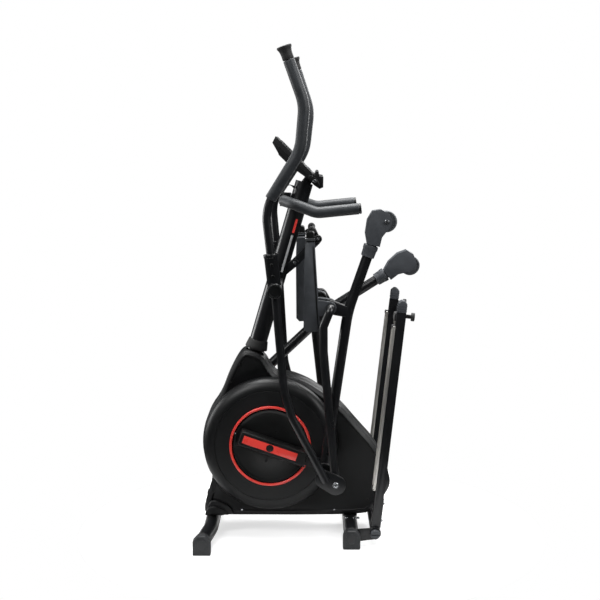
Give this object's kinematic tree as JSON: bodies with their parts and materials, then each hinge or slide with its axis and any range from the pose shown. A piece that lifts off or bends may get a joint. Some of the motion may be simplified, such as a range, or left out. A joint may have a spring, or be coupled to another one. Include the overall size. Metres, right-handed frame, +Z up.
{
  "type": "elliptical trainer",
  "caption": "Folding elliptical trainer with moving handlebars, hinged pedals and fold-up roller rails, in its storage position.",
  "frame": {"origin": "on the floor, under the middle of the object's box in its folded storage position", "axes": "+Z up, +X to the rear, where the rails unfold and the user stands, -Y the user's left"},
  "size_m": [0.7716, 0.592, 1.6295],
  "materials": {
    "frame_paint": "satin",
    "cover_plastic": "matte",
    "crank_plastic": "gloss",
    "grey_plastic": "matte",
    "grip_foam": "matte",
    "red_trim": "satin",
    "bare_steel": "satin",
    "track_aluminium": "satin",
    "wheel_rubber": "matte",
    "drive_iron": "matte",
    "screen_plastic": "gloss"
  },
  "bodies": {
    "frame": {"main_frame": "frame_paint", "mast": "frame_paint", "mast_boot": "cover_plastic", "swing_axle": "bare_steel", "front_stabilizer": "frame_paint", "rear_stabilizer": "frame_paint", "drive_belt": "wheel_rubber", "fixed_handlebar": "frame_paint", "pulse_wire": "wheel_rubber", "shroud_left": "cover_plastic", "shroud_right": "cover_plastic", "trim_ring_left": "red_trim", "trim_ring_right": "red_trim", "front_foot_left": "grey_plastic", "front_foot_right": "grey_plastic", "rear_foot_left": "grey_plastic", "rear_foot_right": "grey_plastic", "bar_grip_left": "grip_foam", "bar_grip_right": "grip_foam"},
    "crank": {"crank_axle": "bare_steel", "drive_pulley": "drive_iron", "crank_arm_left": "bare_steel", "crank_arm_right": "bare_steel", "crank_cover_left": "crank_plastic", "crank_cover_right": "crank_plastic", "crank_disc_left": "crank_plastic", "crank_disc_right": "crank_plastic"},
    "flywheel": {"flywheel": "drive_iron"},
    "idler": {"idler_pulley": "drive_iron"},
    "magnet_arm": {"magnet_arm": "bare_steel"},
    "rails": {"rail_frame": "frame_paint", "track_left": "track_aluminium", "track_right": "track_aluminium", "rail_cap_left": "cover_plastic", "rail_cap_right": "cover_plastic"},
    "lock_knob": {"lock_knob": "cover_plastic"},
    "levelling_foot_left": {"levelling_foot_left": "grey_plastic"},
    "levelling_foot_right": {"levelling_foot_right": "grey_plastic"},
    "console": {"console_body": "cover_plastic", "console_screen": "screen_plastic"},
    "console_button_1": {"console_button_1": "grey_plastic"},
    "console_button_2": {"console_button_2": "grey_plastic"},
    "console_button_3": {"console_button_3": "grey_plastic"},
    "latch_bar": {"latch_bar": "frame_paint"},
    "transport_wheel_left": {"transport_wheel_left": "wheel_rubber"},
    "transport_wheel_right": {"transport_wheel_right": "wheel_rubber"},
    "swing_left": {"swing_arm_left": "frame_paint", "swing_grip_left": "grip_foam"},
    "pedal_arm_left": {"pedal_arm_left": "frame_paint", "pedal_left": "grey_plastic"},
    "connecting_arm_left": {"connecting_arm_left": "frame_paint", "roller_housing_left": "grey_plastic"},
    "roller_left": {"roller_left": "wheel_rubber"},
    "swing_right": {"swing_arm_right": "frame_paint", "swing_grip_right": "grip_foam"},
    "pedal_arm_right": {"pedal_arm_right": "frame_paint", "pedal_right": "grey_plastic"},
    "connecting_arm_right": {"connecting_arm_right": "frame_paint", "roller_housing_right": "grey_plastic"},
    "roller_right": {"roller_right": "wheel_rubber"}
  },
  "joints": [
    {"name": "rail_fold", "type": "hinge", "parent": "frame", "child": "rails", "pos_m": [0.21521, 0, 0.044], "axis": [0, 1, 0], "range_deg": [0, 83.7]},
    {"name": "swing_turn_left", "type": "hinge", "parent": "frame", "child": "swing_left", "pos_m": [-0.11479, 0, 0.868], "axis": [0, 1, 0], "range_deg": [0, 6.03]},
    {"name": "swing_turn_right", "type": "hinge", "parent": "frame", "child": "swing_right", "pos_m": [-0.11479, 0, 0.868], "axis": [0, 1, 0], "range_deg": [0, 36.23]},
    {"name": "pedal_arm_turn_left", "type": "hinge", "parent": "swing_left", "child": "pedal_arm_left", "pos_m": [0.08212, 0, 0.22393], "axis": [0, 1, 0], "range_deg": [0, 79.66]},
    {"name": "pedal_arm_turn_right", "type": "hinge", "parent": "swing_right", "child": "pedal_arm_right", "pos_m": [0.06519, 0, 0.21899], "axis": [0, 1, 0], "range_deg": [0, 49.49]},
    {"name": "connecting_turn_left", "type": "hinge", "parent": "pedal_arm_left", "child": "connecting_arm_left", "pos_m": [0.06408, 0, 0.80395], "axis": [0, 1, 0], "range_deg": [0, 1.25]},
    {"name": "connecting_turn_right", "type": "hinge", "parent": "pedal_arm_right", "child": "connecting_arm_right", "pos_m": [0.03611, 0, 0.79857], "axis": [0, 1, 0], "range_deg": [-28.51, 0]},
    {"name": "roller_spin_left", "type": "hinge", "parent": "connecting_arm_left", "child": "roller_left", "pos_m": [0.244, -0.175, 1.08337], "axis": [0, 1, 0], "continuous": true},
    {"name": "roller_spin_right", "type": "hinge", "parent": "connecting_arm_right", "child": "roller_right", "pos_m": [0.35079, 0.175, 0.90543], "axis": [0, 1, 0], "continuous": true},
    {"name": "crank_spin", "type": "hinge", "parent": "frame", "child": "crank", "pos_m": [-0.13679, 0, 0.321], "axis": [0, 1, 0], "continuous": true},
    {"name": "flywheel_spin", "type": "hinge", "parent": "frame", "child": "flywheel", "pos_m": [0.10421, 0, 0.24], "axis": [0, 1, 0], "continuous": true},
    {"name": "idler_spin", "type": "hinge", "parent": "frame", "child": "idler", "pos_m": [-0.00614, 0.042, 0.17639], "axis": [0, 1, 0], "continuous": true},
    {"name": "magnet_swing", "type": "hinge", "parent": "frame", "child": "magnet_arm", "pos_m": [0.14421, 0, 0.35], "axis": [0, 1, 0], "range_deg": [-2.5, 0]},
    {"name": "lock_knob_pull", "type": "slide", "parent": "rails", "child": "lock_knob", "axis": [0, -1, 0], "range_m": [0, 0.01], "stiffness_N_per_m": 600},
    {"name": "levelling_screw_left", "type": "slide", "parent": "rails", "child": "levelling_foot_left", "axis": [0.994, 0, -0.1094], "range_m": [0, 0.008]},
    {"name": "levelling_screw_right", "type": "slide", "parent": "rails", "child": "levelling_foot_right", "axis": [0.994, 0, -0.1094], "range_m": [0, 0.008]},
    {"name": "console_tilt", "type": "hinge", "parent": "frame", "child": "console", "pos_m": [-0.00611, 0, 1.22004], "axis": [0, 1, 0], "range_deg": [-15, 10]},
    {"name": "latch_lift", "type": "hinge", "parent": "frame", "child": "latch_bar", "pos_m": [-0.05479, 0, 0.932], "axis": [0, 1, 0], "range_deg": [-10, 0]},
    {"name": "transport_spin_left", "type": "hinge", "parent": "frame", "child": "transport_wheel_left", "pos_m": [-0.36679, -0.279, 0.0225], "axis": [0, 1, 0], "continuous": true},
    {"name": "transport_spin_right", "type": "hinge", "parent": "frame", "child": "transport_wheel_right", "pos_m": [-0.36679, 0.279, 0.0225], "axis": [0, 1, 0], "continuous": true},
    {"name": "console_button_press_1", "type": "slide", "parent": "console", "child": "console_button_1", "axis": [-0.7043, 0, -0.7099], "range_m": [0, 0.0015], "stiffness_N_per_m": 500},
    {"name": "console_button_press_2", "type": "slide", "parent": "console", "child": "console_button_2", "axis": [-0.7043, 0, -0.7099], "range_m": [0, 0.0015], "stiffness_N_per_m": 500},
    {"name": "console_button_press_3", "type": "slide", "parent": "console", "child": "console_button_3", "axis": [-0.7043, 0, -0.7099], "range_m": [0, 0.0015], "stiffness_N_per_m": 500}
  ],
  "couplings": [
    {"joint": "swing_turn_left", "follows": "rail_fold", "ratio": 0.071973},
    {"joint": "swing_turn_right", "follows": "rail_fold", "ratio": 0.43285},
    {"joint": "pedal_arm_turn_left", "follows": "rail_fold", "ratio": 0.95171},
    {"joint": "pedal_arm_turn_right", "follows": "rail_fold", "ratio": 0.59125},
    {"joint": "connecting_turn_left", "follows": "rail_fold", "ratio": 0.014823},
    {"joint": "connecting_turn_right", "follows": "rail_fold", "ratio": -0.34062},
    {"joint": "flywheel_spin", "follows": "crank_spin", "ratio": 5},
    {"joint": "idler_spin", "follows": "crank_spin", "ratio": -6.5}
  ]
}
